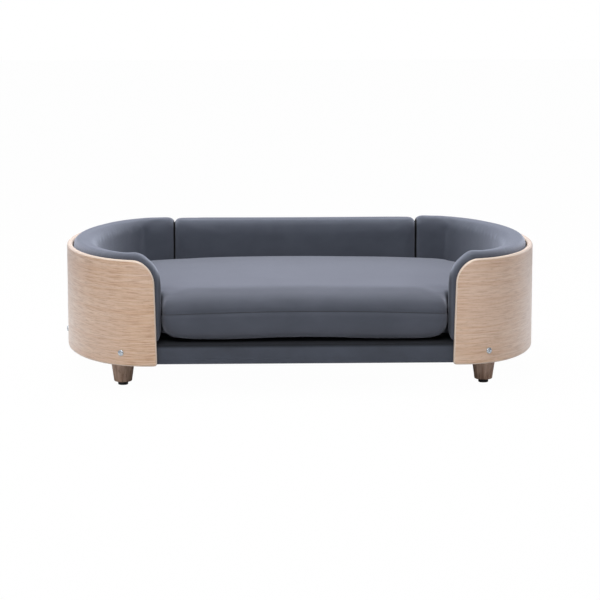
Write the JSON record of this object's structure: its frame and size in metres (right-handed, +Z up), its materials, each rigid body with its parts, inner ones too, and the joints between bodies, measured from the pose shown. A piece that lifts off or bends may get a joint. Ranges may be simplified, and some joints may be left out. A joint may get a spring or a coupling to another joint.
{
  "type": "dog sofa bed",
  "caption": "Dog sofa with a bent-plywood surround open at the front, padded bolsters, an upholstered base on short turned legs, and a loose zipped seat cushion.",
  "frame": {"origin": "on the floor, under the middle of the bed", "axes": "+X along the bed's width, towards its right-hand end seen from the front; -Y out of the open front; +Z up"},
  "size_m": [1.0076, 0.65, 0.29],
  "materials": {
    "oak_veneer": "light oak veneer, fine horizontal grain, satin lacquer",
    "leg_oak": "turned oak, stained brown, vertical grain",
    "plywood_board": "raw plywood, hidden",
    "softwood": "planed softwood, hidden",
    "velvet_upholstery": "blue-grey short-pile velvet",
    "foam": "upholstery foam, hidden",
    "lining": "black spunbonded underlining",
    "hook_and_loop": "black hook-and-loop tape",
    "zinc_steel": "zinc plated",
    "black_nylon": "moulded nylon",
    "zip_nylon": "coil zip, dyed to match the fabric"
  },
  "bodies": {
    "root": {"left_shell": "oak_veneer", "left_joint_batten": "plywood_board", "right_shell": "oak_veneer", "right_joint_batten": "plywood_board", "back_panel": "oak_veneer", "left_bolster_cover": "velvet_upholstery", "left_bolster_foam": "foam", "left_bolster_board": "plywood_board", "left_grip_strip": "hook_and_loop", "right_bolster_cover": "velvet_upholstery", "right_bolster_foam": "foam", "right_bolster_board": "plywood_board", "right_grip_strip": "hook_and_loop", "back_bolster_cover": "velvet_upholstery", "back_bolster_foam": "foam", "back_bolster_board": "plywood_board", "back_grip_strip": "hook_and_loop", "left_end_rim": "softwood", "right_end_rim": "softwood", "front_rail": "softwood", "back_rail": "softwood", "centre_rail": "softwood", "front_left_leg_block": "softwood", "front_left_leg": "leg_oak", "front_left_glide": "black_nylon", "front_left_hanger_bolt": "zinc_steel", "front_right_leg_block": "softwood", "front_right_leg": "leg_oak", "front_right_glide": "black_nylon", "front_right_hanger_bolt": "zinc_steel", "rear_left_leg_block": "softwood", "rear_left_leg": "leg_oak", "rear_left_glide": "black_nylon", "rear_left_hanger_bolt": "zinc_steel", "rear_right_leg_block": "softwood", "rear_right_leg": "leg_oak", "rear_right_glide": "black_nylon", "rear_right_hanger_bolt": "zinc_steel", "base_deck": "plywood_board", "base_foam": "foam", "base_cover": "velvet_upholstery", "dust_cover": "lining", "front_left_shell_bolt": "zinc_steel", "front_left_threaded_insert": "zinc_steel", "front_right_shell_bolt": "zinc_steel", "front_right_threaded_insert": "zinc_steel", "end_left_shell_bolt": "zinc_steel", "end_left_threaded_insert": "zinc_steel", "end_right_shell_bolt": "zinc_steel", "end_right_threaded_insert": "zinc_steel", "rear_left_shell_bolt": "zinc_steel", "rear_left_threaded_insert": "zinc_steel", "rear_right_shell_bolt": "zinc_steel", "rear_right_threaded_insert": "zinc_steel"},
    "cushion": {"cushion_foam": "foam", "cushion_cover_top": "velvet_upholstery", "cushion_cover_base": "velvet_upholstery", "cushion_zip": "zip_nylon"},
    "slider": {"zip_slider": "zinc_steel"}
  },
  "joints": [
    {"name": "cushion_lift", "type": "slide", "parent": "root", "child": "cushion", "axis": [0, 0, 1], "range_m": [0, 0.28]},
    {"name": "zip_run", "type": "slide", "parent": "cushion", "child": "slider", "axis": [1, 0, 0], "range_m": [0, 0.476]}
  ]
}
